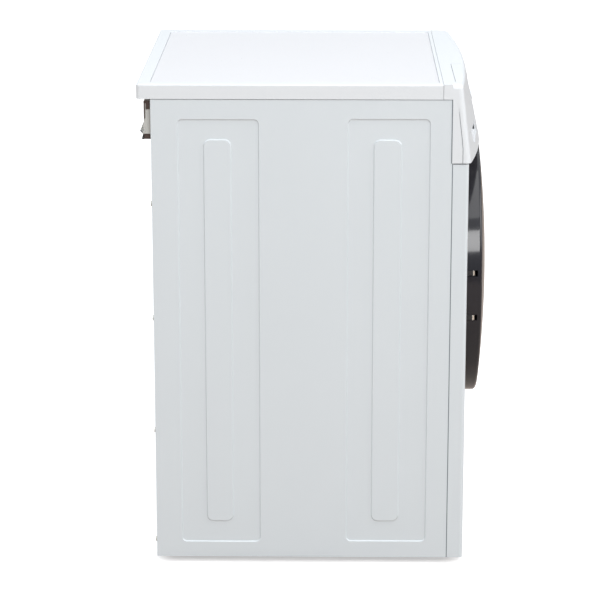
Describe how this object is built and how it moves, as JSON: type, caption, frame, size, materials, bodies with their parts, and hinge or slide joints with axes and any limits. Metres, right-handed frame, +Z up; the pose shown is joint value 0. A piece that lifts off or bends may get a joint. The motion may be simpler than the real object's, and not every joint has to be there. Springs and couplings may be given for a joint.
{
  "type": "clothes dryer",
  "caption": "Free-standing condenser clothes dryer: white cabinet with embossed sides, bowed console, round black side-hung door, water drawer, turning drum and belt drive.",
  "frame": {"origin": "on the floor, under the centre of the overall box", "axes": "+Z up, front and door face -Y, +X is to the right seen from the front"},
  "size_m": [0.595, 0.6, 0.846],
  "materials": {
    "white_enamel": "satin stove enamel",
    "white_plastic": "fine satin",
    "worktop_laminate": "smooth laminate",
    "galvanised_steel": "galvanised sheet",
    "stainless_steel": "brushed",
    "hinge_steel": "plated",
    "black_enamel": "satin",
    "zinc_screws": "zinc plated",
    "grey_plastic": "moulded",
    "black_gloss": "high gloss",
    "dark_glass": "polished",
    "clear_glass": "polished",
    "light_grey_plastic": "moulded",
    "rubber": "matt",
    "black_rubber_foot": "matt",
    "felt": "pressed wool",
    "aluminium": "mill finish",
    "blue_plastic": "moulded",
    "milky_plastic": "translucent",
    "brown_plastic": "moulded",
    "display_black": "polished",
    "circuit_board": "lacquered",
    "silver_plastic": "satin silver",
    "motor_enamel": "cast",
    "heater_steel": "oxidised",
    "black_plastic": "moulded",
    "filter_mesh": "woven"
  },
  "bodies": {
    "cabinet": {"base_tray": "grey_plastic", "condensate_pump": "grey_plastic", "condenser_core": "aluminium", "condenser_frame": "grey_plastic", "console": "white_plastic", "control_board": "circuit_board", "cross_rails": "galvanised_steel", "display_window": "display_black", "door_catch": "grey_plastic", "door_seal": "rubber", "door_throat": "grey_plastic", "drive_belt": "rubber", "drum_felt": "felt", "fan_housing": "galvanised_steel", "filter_duct": "grey_plastic", "front_bulkhead": "galvanised_steel", "front_panel": "white_enamel", "heater": "heater_steel", "hinge_bracket": "black_enamel", "hose_clip": "brown_plastic", "hose_guide": "milky_plastic", "left_side_panel": "white_enamel", "mains_inlet": "black_plastic", "motor": "motor_enamel", "panel_screws": "zinc_screws", "rear_bulkhead": "galvanised_steel", "rear_panel": "galvanised_steel", "right_side_panel": "white_enamel", "tank_housing": "milky_plastic", "worktop_board": "worktop_laminate", "worktop_frame": "white_plastic"},
    "door": {"door_ring": "black_gloss", "door_glass": "dark_glass", "door_inner_frame": "light_grey_plastic", "door_bowl": "clear_glass", "hinge_pin": "hinge_steel"},
    "drum": {"drum_shell": "stainless_steel", "drum_back": "stainless_steel", "drum_lifters": "grey_plastic"},
    "motor_rotor": {"motor_shaft": "galvanised_steel", "fan_impeller": "grey_plastic"},
    "belt_tensioner": {"tension_arm": "galvanised_steel"},
    "idler": {"idler_pulley": "grey_plastic"},
    "roller_left": {"support_roller_left": "grey_plastic"},
    "roller_right": {"support_roller_right": "grey_plastic"},
    "knob": {"programme_knob": "silver_plastic"},
    "power_key": {"power_button": "white_plastic"},
    "start_key": {"start_button": "white_plastic"},
    "option_key_left": {"option_button_left": "white_plastic"},
    "option_key_right": {"option_button_right": "white_plastic"},
    "tank_drawer": {"tank_drawer_front": "white_plastic", "water_tank": "milky_plastic"},
    "filter_cassette": {"lint_filter": "grey_plastic", "lint_mesh": "filter_mesh"},
    "flap": {"service_flap": "white_plastic"},
    "lever": {"condenser_lever": "blue_plastic"},
    "foot_a": {"foot_front_left": "black_rubber_foot"},
    "foot_b": {"foot_front_right": "black_rubber_foot"},
    "foot_c": {"foot_rear_left": "black_rubber_foot"},
    "foot_d": {"foot_rear_right": "black_rubber_foot"}
  },
  "joints": [
    {"name": "door_hinge", "type": "hinge", "parent": "cabinet", "child": "door", "pos_m": [-0.227, -0.27, 0.4675], "axis": [0, 0, -1], "range_deg": [0, 110]},
    {"name": "drum_spin", "type": "hinge", "parent": "cabinet", "child": "drum", "pos_m": [0, 0, 0.474], "axis": [0, 1, 0], "continuous": true},
    {"name": "motor_spin", "type": "hinge", "parent": "cabinet", "child": "motor_rotor", "pos_m": [0.15, 0.05, 0.095], "axis": [0, 1, 0], "continuous": true},
    {"name": "tensioner_pivot", "type": "hinge", "parent": "cabinet", "child": "belt_tensioner", "pos_m": [0.017, 0.155, 0.13], "axis": [0, 1, 0], "range_deg": [0, 8], "stiffness_Nm_per_rad": 3, "springref_deg": -17.19},
    {"name": "idler_spin", "type": "hinge", "parent": "belt_tensioner", "child": "idler", "pos_m": [0.06899, 0.131, 0.10407], "axis": [0, 1, 0], "continuous": true},
    {"name": "roller_left_spin", "type": "hinge", "parent": "cabinet", "child": "roller_left", "pos_m": [-0.19624, -0.175, 0.24013], "axis": [0, 1, 0], "continuous": true},
    {"name": "roller_right_spin", "type": "hinge", "parent": "cabinet", "child": "roller_right", "pos_m": [0.19624, -0.175, 0.24013], "axis": [0, 1, 0], "continuous": true},
    {"name": "knob_turn", "type": "hinge", "parent": "cabinet", "child": "knob", "pos_m": [0.18, -0.26282, 0.785], "axis": [0.0817, -0.981, 0.1761], "continuous": true},
    {"name": "power_press", "type": "slide", "parent": "cabinet", "child": "power_key", "axis": [0, 1, 0], "range_m": [0, 0.0015], "stiffness_N_per_m": 400},
    {"name": "start_press", "type": "slide", "parent": "cabinet", "child": "start_key", "axis": [0, 1, 0], "range_m": [0, 0.0015], "stiffness_N_per_m": 400},
    {"name": "option_left_press", "type": "slide", "parent": "cabinet", "child": "option_key_left", "axis": [0, 1, 0], "range_m": [0, 0.0015], "stiffness_N_per_m": 400},
    {"name": "option_right_press", "type": "slide", "parent": "cabinet", "child": "option_key_right", "axis": [0, 1, 0], "range_m": [0, 0.0015], "stiffness_N_per_m": 400},
    {"name": "tank_slide", "type": "slide", "parent": "cabinet", "child": "tank_drawer", "axis": [0, -1, 0], "range_m": [0, 0.4]},
    {"name": "filter_slide", "type": "slide", "parent": "cabinet", "child": "filter_cassette", "axis": [0, 0, -1], "range_m": [-0.16, 0]},
    {"name": "flap_hinge", "type": "hinge", "parent": "cabinet", "child": "flap", "pos_m": [-0.15, -0.2495, 0.036], "axis": [1, 0, 0], "range_deg": [0, 85]},
    {"name": "lever_turn", "type": "hinge", "parent": "cabinet", "child": "lever", "pos_m": [-0.15, -0.2185, 0.1], "axis": [0, -1, 0], "range_deg": [0, 90]},
    {"name": "foot_a_screw", "type": "slide", "parent": "cabinet", "child": "foot_a", "axis": [0, 0, -1], "range_m": [0, 0.012]},
    {"name": "foot_b_screw", "type": "slide", "parent": "cabinet", "child": "foot_b", "axis": [0, 0, -1], "range_m": [0, 0.012]},
    {"name": "foot_c_screw", "type": "slide", "parent": "cabinet", "child": "foot_c", "axis": [0, 0, -1], "range_m": [0, 0.012]},
    {"name": "foot_d_screw", "type": "slide", "parent": "cabinet", "child": "foot_d", "axis": [0, 0, -1], "range_m": [0, 0.012]}
  ],
  "couplings": [
    {"joint": "motor_spin", "follows": "drum_spin", "ratio": 23.881},
    {"joint": "idler_spin", "follows": "drum_spin", "ratio": -18.418},
    {"joint": "roller_left_spin", "follows": "drum_spin", "ratio": -11.2},
    {"joint": "roller_right_spin", "follows": "drum_spin", "ratio": -11.2}
  ]
}
